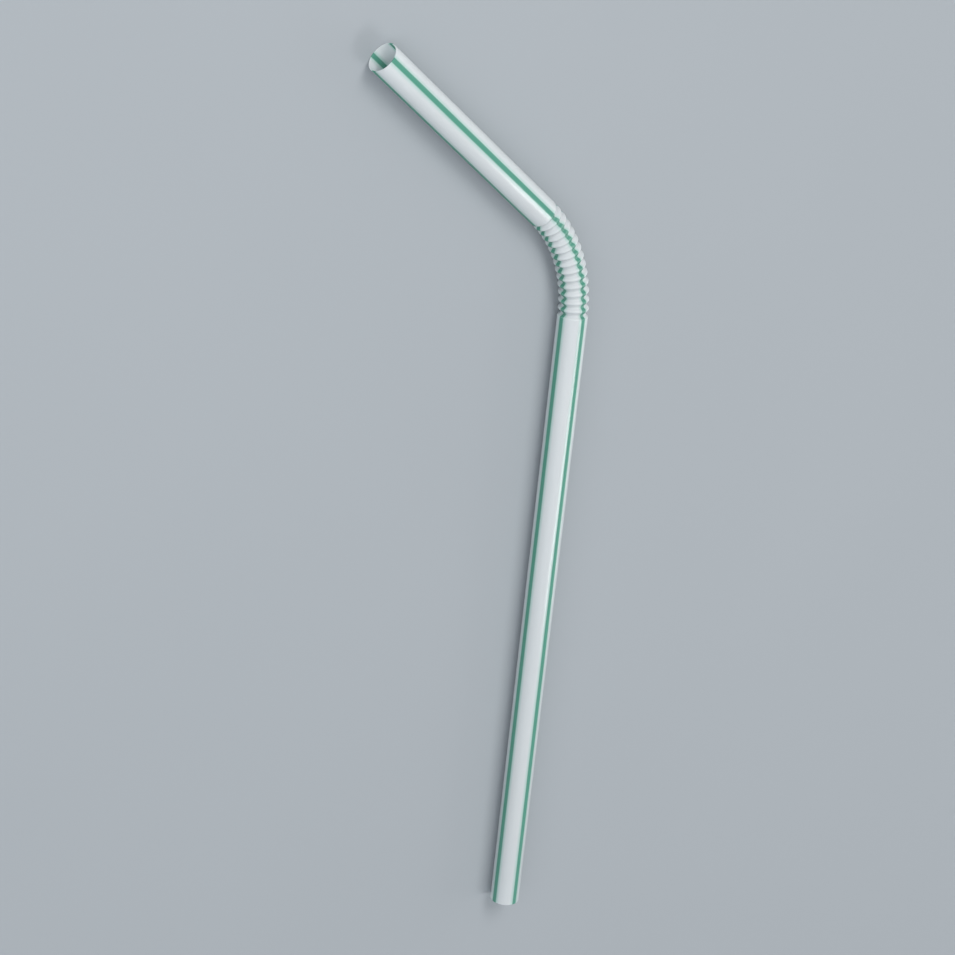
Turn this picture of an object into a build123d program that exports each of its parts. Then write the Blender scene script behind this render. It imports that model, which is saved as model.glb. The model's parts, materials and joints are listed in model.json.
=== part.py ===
"""Flexible drinking straw: one thin plastic tube with a corrugated neck, bent as for drinking.

The straw lies on its side with its bend flat on the ground. Its long barrel runs along +Y, and the
neck turns the short arm towards -X. All sizes are in millimetres and all angles in degrees.
The origin is on the ground, in the middle of the straw's outline as seen from above.
"""

from build123d import *

import os
from math import atan2, cos, radians, sin, tan

# Driving dimensions of the plain tube
packed_length = 193.7  # end to end as packed, with the neck's folds pushed together
tube_diameter = 5.95
wall = 0.18
arm_length = 50.0  # plain tube between the neck and the mouth end

# Driving dimensions of the corrugated neck
bend_angle = 52.0
fold_count = 14
packed_pitch = 1.1  # length that one fold takes up in the packed straw
open_pitch = 1.75  # length of one fold along the middle of the bent neck
fold_depth = 0.6  # from the crests, which are flush with the tube, down to the roots
crest_land = 0.36  # width of the band at a crest
root_land = 0.26  # width of the band at a root
steep_flank_share = 0.38  # of the two flanks of a fold, the part that the steep one takes up
root_shift_share = 0.2  # of the fold depth: folds are shallower where the bend stretches them

# Sizes that follow from them
tube_radius = tube_diameter / 2
barrel_length = packed_length - arm_length - fold_count * packed_pitch
neck_length = fold_count * open_pitch
bend_radius = neck_length / radians(bend_angle)
steep_flank = (open_pitch - crest_land - root_land) * steep_flank_share
long_flank = open_pitch - crest_land - root_land - steep_flank
root_shift = fold_depth * root_shift_share

# Outline seen from above, which sets where the barrel's foot is
bend_sine = sin(radians(bend_angle))
bend_cosine = cos(radians(bend_angle))
outline_width = (
    tube_radius
    + bend_radius * (1 - bend_cosine)
    + arm_length * bend_sine
    + tube_radius * bend_cosine
)
outline_length = barrel_length + (bend_radius + tube_radius) * bend_sine + arm_length * bend_cosine
foot = Vector(outline_width / 2 - tube_radius, -outline_length / 2, tube_radius)

# The straw's centreline: straight barrel, round bend, straight arm
with BuildLine() as centreline:
    barrel_line = Line(foot, foot + Vector(0, barrel_length, 0))
    neck_line = JernArc(barrel_line @ 1, barrel_line % 1, bend_radius, bend_angle)
    arm_line = Line(neck_line @ 1, neck_line @ 1 + (neck_line % 1) * arm_length)


def across(line: Edge, share: float) -> Plane:
    """The plane square to a line at a share of its length, with local Y to the bend's outer side."""
    return Plane(origin=line @ share, x_dir=(0, 0, 1), z_dir=line % share)


def neck_rings(inset: float) -> list[tuple[float, float, float]]:
    """Each ring of the neck: its place along the neck, its shift to the outer side and its radius.

    The inset is square to the surface, so the wall stays as thick on the flanks as on the tube.
    """
    crest_radius = tube_radius - inset
    root_radius = crest_radius - fold_depth
    steep_inset = inset * tan(atan2(fold_depth, steep_flank) / 2)
    long_inset = inset * tan(atan2(fold_depth, long_flank) / 2)
    rings = [(0, 0, crest_radius)]
    for fold in range(fold_count):
        steep_start = fold * open_pitch + crest_land / 2
        root_start = steep_start + steep_flank
        root_end = root_start + root_land
        rings.append((steep_start - steep_inset, 0, crest_radius))
        rings.append((root_start - steep_inset, root_shift, root_radius))
        rings.append((root_end + long_inset, root_shift, root_radius))
        rings.append((root_end + long_flank + long_inset, 0, crest_radius))
    rings.append((neck_length, 0, crest_radius))
    return rings


def straw_form(inset: float) -> Part:
    """The straw filled up: its outside, or its bore where the inset is the wall."""
    with BuildPart() as form:
        with BuildSketch(across(barrel_line, 0)):
            Circle(tube_radius - inset)
        extrude(amount=barrel_length)

        for place, shift, radius in neck_rings(inset):
            with BuildSketch(across(neck_line, place / neck_length)):
                with Locations((0, shift)):
                    Circle(radius)
        loft(ruled=True)

        with BuildSketch(across(arm_line, 0)):
            Circle(tube_radius - inset)
        extrude(amount=arm_length)
    return form.part


# The straw: one wall that follows the tube and the folds, open at both ends
with BuildPart() as straw:
    add(straw_form(inset=0))
    add(straw_form(inset=wall), mode=Mode.SUBTRACT)
straw.part.label = "straw"

os.makedirs("parts", exist_ok=True)
export_step(straw.part, "parts/straw.step")
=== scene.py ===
"""Dresses the flexible drinking straw: its folded tube, its striped plastic and a plain studio.

Lengths are in metres and angles in radians, unless a name says otherwise.
"""

import json
import logging
import math
from collections.abc import Callable
from dataclasses import dataclass
from enum import Enum
from typing import Any

import bmesh
import bpy
from mathutils import Matrix, Vector


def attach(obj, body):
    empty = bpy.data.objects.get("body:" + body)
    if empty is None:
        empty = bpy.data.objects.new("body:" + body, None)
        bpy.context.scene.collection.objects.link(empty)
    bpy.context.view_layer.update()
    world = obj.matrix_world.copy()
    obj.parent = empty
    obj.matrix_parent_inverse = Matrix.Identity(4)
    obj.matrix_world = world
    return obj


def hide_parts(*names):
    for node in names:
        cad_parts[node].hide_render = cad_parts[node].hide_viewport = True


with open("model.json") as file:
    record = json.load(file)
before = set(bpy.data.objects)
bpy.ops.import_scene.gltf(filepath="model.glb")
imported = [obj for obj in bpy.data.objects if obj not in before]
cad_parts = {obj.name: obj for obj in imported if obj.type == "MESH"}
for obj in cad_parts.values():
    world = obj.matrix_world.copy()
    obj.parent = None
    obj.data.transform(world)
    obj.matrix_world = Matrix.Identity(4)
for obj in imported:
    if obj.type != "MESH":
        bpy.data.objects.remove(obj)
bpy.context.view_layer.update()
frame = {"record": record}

MM = 0.001
TOUCH = 0.002 * MM  # points closer than this touch
QUARTER_TURN = math.pi / 2
NOISE_MIDDLE = 0.5  # the middle of a noise's values
INWARDS = -1.0  # Solidify's offset for a wall that grows inwards
STRAIGHT_PLACE = "straight_place"

log = logging.getLogger("straw")

Triple = tuple[float, float, float]
Colour = tuple[float, float, float, float]
EdgeTest = Callable[[Vector, Vector], bool]


class ShownOn(Enum):
    """What a shader is shown on, by the type of its output node."""

    MATERIAL = "ShaderNodeOutputMaterial"
    WORLD = "ShaderNodeOutputWorld"


class LightRole(Enum):
    """What a lamp does in the studio."""

    KEY = "key"
    STREAK = "streak"
    RIM = "rim"
    FILL = "fill"


class Signal:
    """A number that varies over a surface: an output socket that Python's operators work on."""

    def __init__(self, bench: "ShaderBench", socket: bpy.types.NodeSocket) -> None:
        """Keeps the socket and the bench that its Math nodes are added to."""
        self.bench = bench
        self.socket = socket

    def __add__(self, other: "Signal | float") -> "Signal":
        """Adds a number or another signal."""
        return self.bench.math("ADD", self, other)

    def __radd__(self, other: float) -> "Signal":
        """Adds this signal to a number."""
        return self.bench.math("ADD", other, self)

    def __sub__(self, other: "Signal | float") -> "Signal":
        """Takes away a number or another signal."""
        return self.bench.math("SUBTRACT", self, other)

    def __rsub__(self, other: float) -> "Signal":
        """Takes this signal away from a number."""
        return self.bench.math("SUBTRACT", other, self)

    def __mul__(self, other: "Signal | float") -> "Signal":
        """Multiplies by a number or another signal."""
        return self.bench.math("MULTIPLY", self, other)

    def __rmul__(self, other: float) -> "Signal":
        """Multiplies a number by this signal."""
        return self.bench.math("MULTIPLY", other, self)

    def __truediv__(self, other: "Signal | float") -> "Signal":
        """Divides by a number or another signal."""
        return self.bench.math("DIVIDE", self, other)

    def __rtruediv__(self, other: float) -> "Signal":
        """Divides a number by this signal."""
        return self.bench.math("DIVIDE", other, self)

    def __abs__(self) -> "Signal":
        """Drops the sign."""
        return self.bench.math("ABSOLUTE", self)


class ShaderBench:
    """The node tree of a new material or world, with one way to add any node to it."""

    def __init__(self, owner: bpy.types.Material | bpy.types.World) -> None:
        """Empties the owner's node tree.

        Args:
            owner: The new material or world.
        """
        owner.use_nodes = True
        self.tree = owner.node_tree
        self.tree.nodes.clear()

    def add(
        self,
        kind: str,
        settings: dict[str, Any] | None = None,
        inputs: dict[str | int, Any] | None = None,
    ) -> bpy.types.Node:
        """Adds one node.

        Args:
            kind: The node's type.
            settings: The node's own properties, which are set first.
            inputs: A value, a socket or a signal for each input, by its name or number.

        Returns:
            The node.
        """
        node = self.tree.nodes.new(kind)
        for name, value in (settings or {}).items():
            setattr(node, name, value)
        for name, value in (inputs or {}).items():
            socket = self._input(node, name)
            source = value.socket if isinstance(value, Signal) else value
            if isinstance(source, bpy.types.NodeSocket):
                self.tree.links.new(source, socket)
            else:
                socket.default_value = source
        return node

    @staticmethod
    def _input(node: bpy.types.Node, name: str | int) -> bpy.types.NodeSocket:
        """Finds one of a node's inputs.

        Args:
            node: The node.
            name: The input's name or number.

        Returns:
            The input of that number, or the one of that name that is in use.
        """
        if isinstance(name, int):
            return node.inputs[name]
        return next(socket for socket in node.inputs if socket.name == name and socket.enabled)

    def signal(self, node: bpy.types.Node, output: str | int = 0) -> Signal:
        """One of a node's outputs as a signal."""
        return Signal(self, node.outputs[output])

    def math(self, operation: str, *operands: Signal | float) -> Signal:
        """Adds a Math node that takes the operands in order, and returns its result."""
        node = self.add("ShaderNodeMath", {"operation": operation}, dict(enumerate(operands)))
        return self.signal(node)

    def ease(self, signal: Signal, start: Signal | float, end: Signal | float) -> Signal:
        """Adds a smooth step.

        Args:
            signal: What is read.
            start: Where the result is 0.
            end: Where the result is 1.

        Returns:
            The step, from 0 to 1.
        """
        settings = {"interpolation_type": "SMOOTHSTEP"}
        inputs = {"Value": signal, "From Min": start, "From Max": end}
        return self.signal(self.add("ShaderNodeMapRange", settings, inputs))

    def blend(
        self,
        share: Signal | float,
        first: Colour | bpy.types.NodeSocket,
        second: Colour | bpy.types.NodeSocket,
    ) -> bpy.types.NodeSocket:
        """Mixes two colours.

        Args:
            share: The second colour's share.
            first: A colour or a colour socket.
            second: A colour or a colour socket.

        Returns:
            The mixed colour's socket.
        """
        inputs = {"Factor": share, "A": first, "B": second}
        node = self.add("ShaderNodeMix", {"data_type": "RGBA"}, inputs)
        return next(socket for socket in node.outputs if socket.enabled)

    def noise(
        self, place: bpy.types.NodeSocket, repeats: Triple, detail: float = 2.0
    ) -> Signal:
        """Adds a noise over a stretched place.

        Args:
            place: The vector socket that the noise is read at.
            repeats: How often the noise repeats in a metre, on each axis.
            detail: How many finer layers it has.

        Returns:
            The noise, from 0 to 1.
        """
        settings = {"operation": "MULTIPLY"}
        stretched = self.add("ShaderNodeVectorMath", settings, {0: place, 1: repeats})
        inputs = {"Vector": stretched.outputs[0], "Scale": 1.0, "Detail": detail}
        return self.signal(self.add("ShaderNodeTexNoise", None, inputs))

    def mix(
        self, share: Signal | float, first: bpy.types.Node, second: bpy.types.Node
    ) -> bpy.types.Node:
        """Mixes two shaders by the second one's share, and returns the mix."""
        inputs = {0: share, 1: first.outputs[0], 2: second.outputs[0]}
        return self.add("ShaderNodeMixShader", None, inputs)

    def glow(self, colour: Colour) -> bpy.types.Node:
        """Adds a shader that lets light of one colour through and scatters it."""
        return self.add("ShaderNodeBsdfTranslucent", None, {"Color": colour})

    def seen(self) -> Signal:
        """Finds the rays that show a backdrop, rather than light the object with it.

        Returns:
            1 for rays from the camera and for those that are mirrored or let through.
        """
        path = self.add("ShaderNodeLightPath")
        seen = self.signal(path, "Is Camera Ray")
        for way in ("Is Glossy Ray", "Is Transmission Ray"):
            seen = self.math("MAXIMUM", seen, self.signal(path, way))
        return seen

    def show(self, shader: bpy.types.Node, shown_on: ShownOn = ShownOn.MATERIAL) -> None:
        """Sends a shader to the surface of the material or world."""
        self.add(shown_on.value, None, {"Surface": shader.outputs[0]})


@dataclass(frozen=True)
class StripedPlastic:
    """Thin white polypropylene that light passes through, with stripes drawn along its wall."""

    radius: float
    neck_start: float
    neck_end: float
    fold_depth: float
    body_colour: Colour = (0.875, 0.905, 0.925, 1.0)
    milky_colour: Colour = (0.915, 0.935, 0.945, 1.0)
    stripe_colour: Colour = (0.115, 0.405, 0.300, 1.0)
    halo_colour: Colour = (0.500, 0.800, 0.720, 1.0)
    stripe_width: float = 0.95 * MM
    stripe_softness: float = 0.13 * MM
    stripe_wander: float = 0.10 * MM
    halo_width: float = 0.75 * MM
    halo_share: float = 0.60
    stripe_turn: float = math.radians(5.0)
    wander_repeats: Triple = (500.0, 70.0, 500.0)
    milk_repeats: Triple = (160.0, 45.0, 160.0)
    drawn_repeats: Triple = (2600.0, 9.0, 2600.0)
    fine_detail: float = 3.0
    drawn_depth: float = 0.02 * MM
    drawn_strength: float = 0.35
    drawn_rough: float = 0.10
    crease_share: float = 0.08
    crease_rough: float = 0.14
    crest_share: float = 0.80
    root_reach: tuple[float, float] = (0.60, 0.98)
    crest_reach: float = 0.14
    roughness: float = 0.21
    ior: float = 1.49
    gloss: float = 0.85
    see_through: float = 0.36
    stripe_see_through: float = 0.28

    def material(self) -> bpy.types.Material:
        """Builds the finish.

        Returns:
            The material, which reads the straw's straight place.
        """
        material = bpy.data.materials.new("striped_plastic")
        bench = ShaderBench(material)
        straight = bench.add("ShaderNodeAttribute", {"attribute_name": STRAIGHT_PLACE})
        place = straight.outputs["Vector"]
        parts = bench.add("ShaderNodeSeparateXYZ", None, {"Vector": place})
        out, along, up = (bench.signal(parts, axis) for axis in "XYZ")

        stripe, halo = self._stripe_masks(bench, place, out, up)
        crease = self._crease_mask(bench, out, along, up)
        milk = bench.noise(place, self.milk_repeats, self.fine_detail)
        drawn = bench.noise(place, self.drawn_repeats, self.fine_detail)

        # Each layer tints what the wall sends back and what it lets through alike.
        layers = (
            (milk, self.milky_colour),
            (halo * self.halo_share, self.halo_colour),
            (stripe, self.stripe_colour),
            (crease * self.crease_share, self.milky_colour),
        )
        colour, glow = self.body_colour, bench.glow(self.body_colour)
        for share, tint in layers:
            colour = bench.blend(share, colour, tint)
            glow = bench.mix(share, glow, bench.glow(tint))

        uneven = self.drawn_rough * (drawn - NOISE_MIDDLE)
        rough = self.roughness + uneven + self.crease_rough * crease
        relief = {"Strength": self.drawn_strength, "Distance": self.drawn_depth, "Height": drawn}
        bump = bench.add("ShaderNodeBump", None, relief)
        plastic = bench.add(
            "ShaderNodeBsdfPrincipled",
            None,
            {
                "Base Color": colour,
                "Roughness": rough,
                "IOR": self.ior,
                "Specular IOR Level": self.gloss,
                "Normal": bump.outputs["Normal"],
            },
        )
        through = self.see_through + (self.stripe_see_through - self.see_through) * stripe
        bench.show(bench.mix(through, plastic, glow))
        return material

    def _stripe_masks(
        self, bench: ShaderBench, place: bpy.types.NodeSocket, out: Signal, up: Signal
    ) -> tuple[Signal, Signal]:
        """Finds the four stripes and the pale tint beside them.

        Args:
            bench: Where the nodes are added.
            place: The straight place.
            out: How far a point is to the bend's outer side.
            up: How far a point is above the tube's axis.

        Returns:
            The stripes' mask and the tint's mask.
        """
        turn_sine, turn_cosine = math.sin(self.stripe_turn), math.cos(self.stripe_turn)
        side = out * turn_cosine - up * turn_sine
        top = out * turn_sine + up * turn_cosine
        # The sine of twice the angle round the tube is 0 at each quarter turn, on the stripes.
        double_sine = abs(2.0 * side * top / (side * side + top * top))
        from_stripe = bench.math("ARCSINE", double_sine) * (self.radius / 2)

        half_width = self.stripe_width / 2
        wander = bench.noise(place, self.wander_repeats) - NOISE_MIDDLE
        edge = half_width + wander * self.stripe_wander
        stripe = bench.ease(from_stripe, edge + self.stripe_softness, edge - self.stripe_softness)
        halo = bench.ease(from_stripe, half_width + self.halo_width, half_width)
        return stripe, halo

    def _crease_mask(self, bench: ShaderBench, out: Signal, along: Signal, up: Signal) -> Signal:
        """Finds the neck's roots and crests, where pressing the folds has whitened the plastic.

        Args:
            bench: Where the nodes are added.
            out: How far a point is to the bend's outer side.
            along: How far a point is from the foot.
            up: How far a point is above the tube's axis.

        Returns:
            The creases' mask.
        """
        depth = self.radius - bench.math("SQRT", out * out + up * up)
        root = bench.ease(depth, *(self.fold_depth * reach for reach in self.root_reach))
        crest = bench.ease(depth, self.fold_depth * self.crest_reach, 0.0)
        in_neck = bench.math("GREATER_THAN", along, self.neck_start)
        in_neck = in_neck * bench.math("LESS_THAN", along, self.neck_end)
        return bench.math("MAXIMUM", root, crest * self.crest_share) * in_neck


@dataclass(frozen=True)
class FloorPaint:
    """The studio floor's matt paint, which runs out into the backdrop far from the straw."""

    backdrop_colour: Colour
    colour: Colour = (0.372, 0.402, 0.432, 1.0)
    cloudy_colour: Colour = (0.385, 0.415, 0.445, 1.0)
    cloud_repeats: Triple = (14.0, 14.0, 14.0)
    roughness: float = 0.75
    fade_start: float = 0.28
    fade_end: float = 0.80

    def material(self) -> bpy.types.Material:
        """Builds the floor's finish.

        Returns:
            The material, which reads Object coordinates.
        """
        material = bpy.data.materials.new("floor_paint")
        bench = ShaderBench(material)
        place = bench.add("ShaderNodeTexCoord").outputs["Object"]
        cloud = bench.noise(place, self.cloud_repeats)
        colour = bench.blend(cloud, self.colour, self.cloudy_colour)
        inputs = {"Base Color": colour, "Roughness": self.roughness}
        paint = bench.add("ShaderNodeBsdfPrincipled", None, inputs)
        backdrop = bench.add("ShaderNodeEmission", None, {"Color": self.backdrop_colour})
        reach = bench.add("ShaderNodeVectorMath", {"operation": "LENGTH"}, {0: place})
        far = bench.ease(bench.signal(reach, "Value"), self.fade_start, self.fade_end)
        bench.show(bench.mix(far * bench.seen(), paint, backdrop))
        return material


def pick_edges(mesh: bpy.types.Mesh, chosen: EdgeTest) -> None:
    """Selects, in edit mode, only the edges that a test chooses.

    Args:
        mesh: The mesh that is being edited.
        chosen: A test of an edge's two ends.
    """
    bpy.ops.mesh.select_mode(type="EDGE")
    bpy.ops.mesh.select_all(action="DESELECT")
    edited = bmesh.from_edit_mesh(mesh)
    for edge in edited.edges:
        edge.select_set(chosen(edge.verts[0].co, edge.verts[1].co))
    bmesh.update_edit_mesh(mesh)


def extrude(step: Vector) -> None:
    """Extrudes what is selected in edit mode by one step."""
    bpy.ops.mesh.extrude_region_move(TRANSFORM_OT_translate={"value": step})


def finish_modifier(piece: bpy.types.Object, kind: str, settings: dict[str, Any]) -> None:
    """Adds a modifier to the active piece and applies it.

    Args:
        piece: The piece, which is active.
        kind: The modifier's type.
        settings: Its properties.
    """
    modifier = piece.modifiers.new(kind.lower(), kind)
    for name, value in settings.items():
        setattr(modifier, name, value)
    bpy.ops.object.modifier_apply(modifier=modifier.name)


@dataclass(frozen=True)
class Fold:
    """One fold of the neck, from the middle of a crest to the middle of the next."""

    pitch: float
    depth: float = 0.60 * MM
    crest_land: float = 0.36 * MM
    root_land: float = 0.26 * MM
    steep_flank_share: float = 0.38
    root_shift_share: float = 0.20
    crest_round: float = 0.15 * MM
    root_round: float = 0.11 * MM
    round_steps: int = 4

    def rings(self) -> list[Triple]:
        """Lists the fold's rings after its first.

        Returns:
            Each ring's place along the neck, its depth and its shift to the bend's outer side.
        """
        flanks = self.pitch - self.crest_land - self.root_land
        shift = self.depth * self.root_shift_share
        steep_start = self.crest_land / 2
        root_start = steep_start + flanks * self.steep_flank_share
        return [
            (steep_start, 0.0, 0.0),
            (root_start, self.depth, shift),
            (root_start + self.root_land, self.depth, shift),
            (self.pitch - self.crest_land / 2, 0.0, 0.0),
            (self.pitch, 0.0, 0.0),
        ]


@dataclass
class Straw:
    """The straw's one piece of thin wall: barrel, folded neck and arm."""

    foot: Vector
    radius: float
    wall: float
    barrel_length: float
    arm_length: float
    neck_length: float
    bend_angle: float
    fold_count: int = 14
    ring_points: int = 96
    rim_round: float = 0.04 * MM
    rim_steps: int = 2
    rim_angle: float = math.radians(60.0)
    smooth_angle: float = math.radians(50.0)

    @classmethod
    def from_record(cls, record: dict[str, Any]) -> "Straw":
        """Reads the straw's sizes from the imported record's mounts.

        Args:
            record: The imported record.

        Returns:
            The straw, not yet built.
        """
        mounts = {mount["name"]: mount for mount in record["mounts"]}
        names = ("barrel_outside", "barrel_bore", "arm_outside")
        barrel, bore, arm = (mounts[name] for name in names)
        radius, barrel_length = (barrel["dims"][key] * MM for key in ("r_mm", "length_mm"))
        arm_length = arm["dims"]["length_mm"] * MM
        foot, barrel_way = Vector(barrel["pos_m"]), -Vector(barrel["axis"])
        tip, arm_way = Vector(arm["pos_m"]), Vector(arm["axis"])
        bend_angle = barrel_way.angle(arm_way)
        neck_chord = (tip - arm_way * arm_length - foot - barrel_way * barrel_length).length
        return cls(
            foot=foot,
            radius=radius,
            wall=radius - bore["dims"]["r_mm"] * MM,
            barrel_length=barrel_length,
            arm_length=arm_length,
            neck_length=neck_chord / (2 * math.sin(bend_angle / 2)) * bend_angle,
            bend_angle=bend_angle,
        )

    @property
    def fold(self) -> Fold:
        """One of the neck's folds."""
        return Fold(pitch=self.neck_length / self.fold_count)

    @property
    def neck_start(self) -> Vector:
        """Where the neck leaves the barrel, on the axis."""
        return self.foot + Vector((0.0, self.barrel_length, 0.0))

    @property
    def bend_radius(self) -> float:
        """The radius of the bent neck's axis."""
        return self.neck_length / self.bend_angle

    def axis_points(self) -> list[Vector]:
        """The ends of the barrel, the neck and the arm on the bent axis.

        Returns:
            The foot, the neck's two ends and the mouth end.
        """
        sine, cosine = math.sin(self.bend_angle), math.cos(self.bend_angle)
        neck_end = self.neck_start + self.bend_radius * Vector((cosine - 1, sine, 0.0))
        tip = neck_end + self.arm_length * Vector((-sine, cosine, 0.0))
        return [self.foot, self.neck_start, neck_end, tip]

    def build(self) -> bpy.types.Object:
        """Models the straw straight, bends it and gives it its wall.

        Returns:
            The finished piece.
        """
        piece = self._start_ring()
        self._model_fold()
        self._repeat_fold(piece)
        self._round_folds(piece.data)
        self._extend_tubes(piece.data)
        self._note_straight_places(piece.data)
        self._bend(piece)
        self._thicken(piece)
        return piece

    def dress(self, piece: bpy.types.Object) -> None:
        """Gives the piece its finish and its place in the frame.

        Args:
            piece: The finished piece.
        """
        finish = StripedPlastic(
            radius=self.radius,
            neck_start=self.barrel_length,
            neck_end=self.barrel_length + self.neck_length,
            fold_depth=self.fold.depth,
        )
        piece.data.materials.append(finish.material())
        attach(piece, "root")
        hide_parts("straw")

    def _start_ring(self) -> bpy.types.Object:
        """Adds the ring at the neck's start and opens it for editing.

        Returns:
            The new piece.
        """
        bpy.ops.object.select_all(action="DESELECT")
        bpy.ops.mesh.primitive_circle_add(
            vertices=self.ring_points,
            radius=self.radius,
            location=self.neck_start,
            rotation=(QUARTER_TURN, 0.0, 0.0),
        )
        piece = bpy.context.object
        piece.name = piece.data.name = "folded_straw"
        bpy.ops.object.transform_apply(location=True, rotation=True, scale=True)
        bpy.ops.object.mode_set(mode="EDIT")
        bpy.ops.mesh.select_all(action="SELECT")
        return piece

    def _model_fold(self) -> None:
        """Extrudes the first fold from the start ring, ring by ring."""
        centre, radius = self.neck_start, self.radius
        for place, depth, shift in self.fold.rings():
            new_centre = self.neck_start + Vector((shift, place, 0.0))
            new_radius = self.radius - depth
            extrude(new_centre - centre)
            size = new_radius / radius
            bpy.ops.transform.resize(value=(size, size, size), center_override=new_centre)
            centre, radius = new_centre, new_radius
        bpy.ops.object.mode_set(mode="OBJECT")

    def _repeat_fold(self, piece: bpy.types.Object) -> None:
        """Repeats the fold along the neck.

        Args:
            piece: The piece that holds the first fold.
        """
        settings = {
            "count": self.fold_count,
            "use_relative_offset": False,
            "use_constant_offset": True,
            "constant_offset_displace": (0.0, self.fold.pitch, 0.0),
            "use_merge_vertices": True,
            "merge_threshold": TOUCH,
        }
        finish_modifier(piece, "ARRAY", settings)

    def _round_folds(self, mesh: bpy.types.Mesh) -> None:
        """Rounds the corner rings of every crest and root.

        Args:
            mesh: The neck's mesh.
        """
        fold = self.fold
        corners = [(place, depth) for place, depth, _ in fold.rings()[:-1]]
        bpy.ops.object.mode_set(mode="EDIT")
        for depth, size in ((0.0, fold.crest_round), (fold.depth, fold.root_round)):
            places = [place for place, corner_depth in corners if corner_depth == depth]

            def on_corner(start: Vector, end: Vector) -> bool:
                """Tests whether an edge runs round one of these rings.

                Args:
                    start: One end of the edge.
                    end: The edge's other end.

                Returns:
                    Whether both ends are on one such ring.
                """
                if abs(start.y - end.y) >= TOUCH:
                    return False
                phase = (start.y - self.neck_start.y) % fold.pitch
                return any(abs(phase - place) < TOUCH for place in places)

            pick_edges(mesh, on_corner)
            bpy.ops.mesh.bevel(offset=size, segments=fold.round_steps, affect="EDGES")
        bpy.ops.object.mode_set(mode="OBJECT")

    def _extend_tubes(self, mesh: bpy.types.Mesh) -> None:
        """Extrudes the barrel and the arm from the neck's two end rings.

        Args:
            mesh: The neck's mesh.
        """
        bpy.ops.object.mode_set(mode="EDIT")
        ends = ((0.0, -self.barrel_length), (self.neck_length, self.arm_length))
        for place, length in ends:
            end_ring = self.neck_start.y + place

            def on_end(start: Vector, end: Vector) -> bool:
                """Tests whether an edge runs round this end of the neck."""
                return max(abs(start.y - end_ring), abs(end.y - end_ring)) < TOUCH

            pick_edges(mesh, on_end)
            extrude(Vector((0.0, length, 0.0)))
        bpy.ops.mesh.select_all(action="SELECT")
        bpy.ops.mesh.normals_make_consistent(inside=False)
        bpy.ops.object.mode_set(mode="OBJECT")

    def _note_straight_places(self, mesh: bpy.types.Mesh) -> None:
        """Keeps each point's place in the straight straw, which the finish follows round the bend.

        Args:
            mesh: The straight straw's mesh.
        """
        places = mesh.attributes.new(STRAIGHT_PLACE, "FLOAT_VECTOR", "POINT")
        for vertex, place in zip(mesh.vertices, places.data):
            place.vector = vertex.co - self.foot

    def _bend(self, piece: bpy.types.Object) -> None:
        """Bends the neck to its angle and carries the arm round with it.

        Args:
            piece: The straight straw.
        """
        bpy.ops.object.empty_add(location=self.neck_start, rotation=(0.0, 0.0, QUARTER_TURN))
        hinge = bpy.context.object
        bpy.ops.object.select_all(action="DESELECT")
        bpy.context.view_layer.objects.active = piece
        piece.select_set(True)
        neck_end = self.barrel_length + self.neck_length
        whole = neck_end + self.arm_length
        settings = {
            "deform_method": "BEND",
            "deform_axis": "Z",
            "origin": hinge,
            "angle": self.bend_angle,
            "limits": (self.barrel_length / whole, neck_end / whole),
        }
        finish_modifier(piece, "SIMPLE_DEFORM", settings)
        bpy.data.objects.remove(hinge)

    def _thicken(self, piece: bpy.types.Object) -> None:
        """Gives the wall its thickness inwards and softens the cut rims.

        Args:
            piece: The bent straw.
        """
        finish_modifier(piece, "SOLIDIFY", {"thickness": self.wall, "offset": INWARDS})
        rims = {
            "width": self.rim_round,
            "segments": self.rim_steps,
            "limit_method": "ANGLE",
            "angle_limit": self.rim_angle,
        }
        finish_modifier(piece, "BEVEL", rims)
        bpy.ops.object.shade_smooth_by_angle(angle=self.smooth_angle)


@dataclass(frozen=True)
class Lamp:
    """One soft rectangular lamp."""

    role: LightRole
    way: Triple
    distance: float
    size: tuple[float, float]
    watts: float
    colour: Triple = (1.0, 1.0, 1.0)

    def build(self, target: Vector) -> None:
        """Hangs the lamp and points it at the straw.

        Args:
            target: The point that it lights.
        """
        way = Vector(self.way).normalized()
        bpy.ops.object.light_add(type="AREA", location=target + way * self.distance)
        lamp = bpy.context.object
        lamp.name = lamp.data.name = f"{self.role.value}_lamp"
        lamp.rotation_euler = way.to_track_quat("Z", "Y").to_euler()
        lamp.data.shape = "RECTANGLE"
        lamp.data.size, lamp.data.size_y = self.size
        lamp.data.energy = self.watts
        lamp.data.color = self.colour


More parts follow.
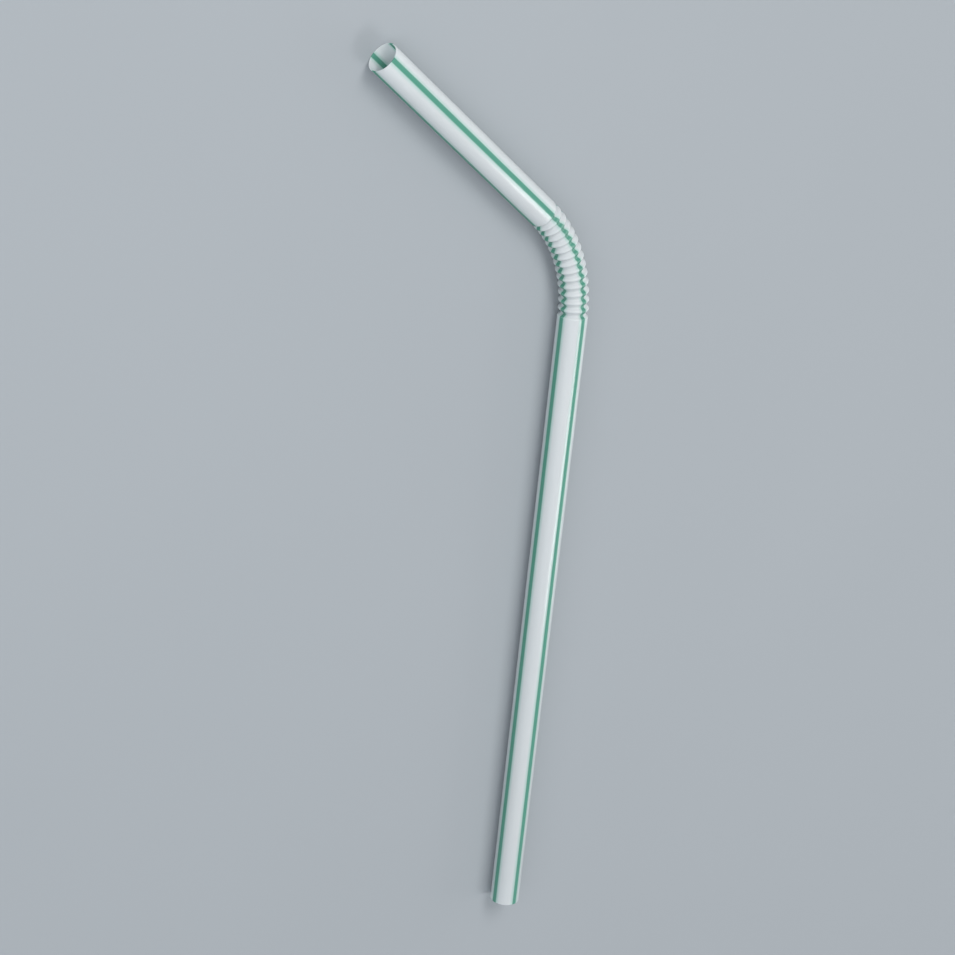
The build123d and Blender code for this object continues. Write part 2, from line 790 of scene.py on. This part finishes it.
@dataclass
class Studio:
    """The floor, the light and the camera."""

    straw: Straw
    floor_size: float = 3.0
    sky_colour: Colour = (0.93, 0.97, 1.0, 1.0)
    sky_strength: float = 0.44
    backdrop_colour: Colour = (0.46, 0.50, 0.535, 1.0)
    camera_way: Triple = (-0.590, 0.358, 0.723)
    camera_roll: float = math.radians(6.0)
    camera_lens_mm: float = 92.0
    camera_sensor_mm: float = 36.0
    camera_clip_start: float = 0.01
    first_fill: float = 0.5
    frame_fill: float = 0.88
    framing_rounds: int = 12
    lamps: tuple[Lamp, ...] = (
        Lamp(
            LightRole.KEY,
            way=(0.00, 0.63, 0.76),
            distance=0.75,
            size=(0.40, 0.40),
            watts=2.5,
            colour=(1.0, 0.985, 0.96),
        ),
        Lamp(
            LightRole.STREAK,
            way=(0.42, -0.40, 0.80),
            distance=0.70,
            size=(0.36, 0.12),
            watts=0.9,
        ),
        Lamp(
            LightRole.RIM,
            way=(0.93, -0.12, 0.22),
            distance=0.70,
            size=(0.60, 0.28),
            watts=0.8,
        ),
        Lamp(
            LightRole.FILL,
            way=(-0.75, 0.15, 0.65),
            distance=0.80,
            size=(0.60, 0.60),
            watts=2.1,
            colour=(0.96, 0.98, 1.0),
        ),
    )

    def build(self) -> None:
        """Sets up the whole studio."""
        bpy.context.scene.view_settings.view_transform = "Standard"
        self._lay_floor()
        self._light_sky()
        for lamp in self.lamps:
            lamp.build(Vector((0.0, 0.0, self.straw.radius)))
        self._set_camera()

    def _lay_floor(self) -> None:
        """Adds the floor that the straw lies on."""
        bpy.ops.object.select_all(action="DESELECT")
        bpy.ops.mesh.primitive_plane_add(size=self.floor_size)
        floor = bpy.context.object
        floor.name = floor.data.name = "floor"
        floor.data.materials.append(FloorPaint(self.backdrop_colour).material())

    def _light_sky(self) -> None:
        """Adds the even light from all round, and the pale backdrop that is seen and mirrored."""
        sky = bpy.data.worlds.new("soft_sky")
        bpy.context.scene.world = sky
        bench = ShaderBench(sky)
        even_light = {"Color": self.sky_colour, "Strength": self.sky_strength}
        light = bench.add("ShaderNodeBackground", None, even_light)
        backdrop = bench.add("ShaderNodeBackground", None, {"Color": self.backdrop_colour})
        bench.show(bench.mix(bench.seen(), light, backdrop), ShownOn.WORLD)

    def _set_camera(self) -> None:
        """Adds the camera, which looks down on the straw so that its barrel looks nearly upright."""
        back = Vector(self.camera_way).normalized()
        barrel_way = Vector((0.0, 1.0, 0.0))
        level = barrel_way.cross(back).normalized()
        right = Matrix.Rotation(self.camera_roll, 3, back) @ level
        up = back.cross(right)

        place = self._camera_place(right, up, back)
        turn = Matrix((right, up, back)).transposed().to_4x4()
        bpy.ops.object.camera_add()
        camera = bpy.context.object
        camera.matrix_world = Matrix.Translation(place) @ turn
        camera.data.lens = self.camera_lens_mm
        camera.data.sensor_width = self.camera_sensor_mm
        camera.data.clip_start = self.camera_clip_start
        bpy.context.scene.camera = camera

    def _camera_place(self, right: Vector, up: Vector, back: Vector) -> Vector:
        """Finds where the camera sees the straw in the middle of its square frame.

        Args:
            right: The picture's way to the right.
            up: The picture's way up.
            back: The way from the straw to the camera.

        Returns:
            The camera's place.
        """
        lens = self.camera_lens_mm / self.camera_sensor_mm
        place = back * (self.straw.barrel_length * lens / self.first_fill)
        # Each round centres the straw and brings it closer to its share of the frame.
        for _ in range(self.framing_rounds):
            spans = []
            for axis in (right, up):
                seen = [
                    lens * (point - place).dot(axis) / (place - point).dot(back)
                    for point in self.straw.axis_points()
                ]
                spans.append(max(seen) - min(seen))
                place += axis * (max(seen) + min(seen)) / 2 * place.dot(back) / lens
            place += back * place.dot(back) * (max(spans) / self.frame_fill - 1)
        return place


def main() -> None:
    """Builds the straw and its studio."""
    logging.basicConfig(level=logging.INFO, format="%(name)s: %(message)s")
    straw = Straw.from_record(frame["record"])
    piece = straw.build()
    straw.dress(piece)
    piece.data.calc_loop_triangles()
    log.info("%s: %d triangles", piece.name, len(piece.data.loop_triangles))
    Studio(straw).build()
    log.info("studio: floor, lamps and camera")


if __name__ == "__main__":
    main()
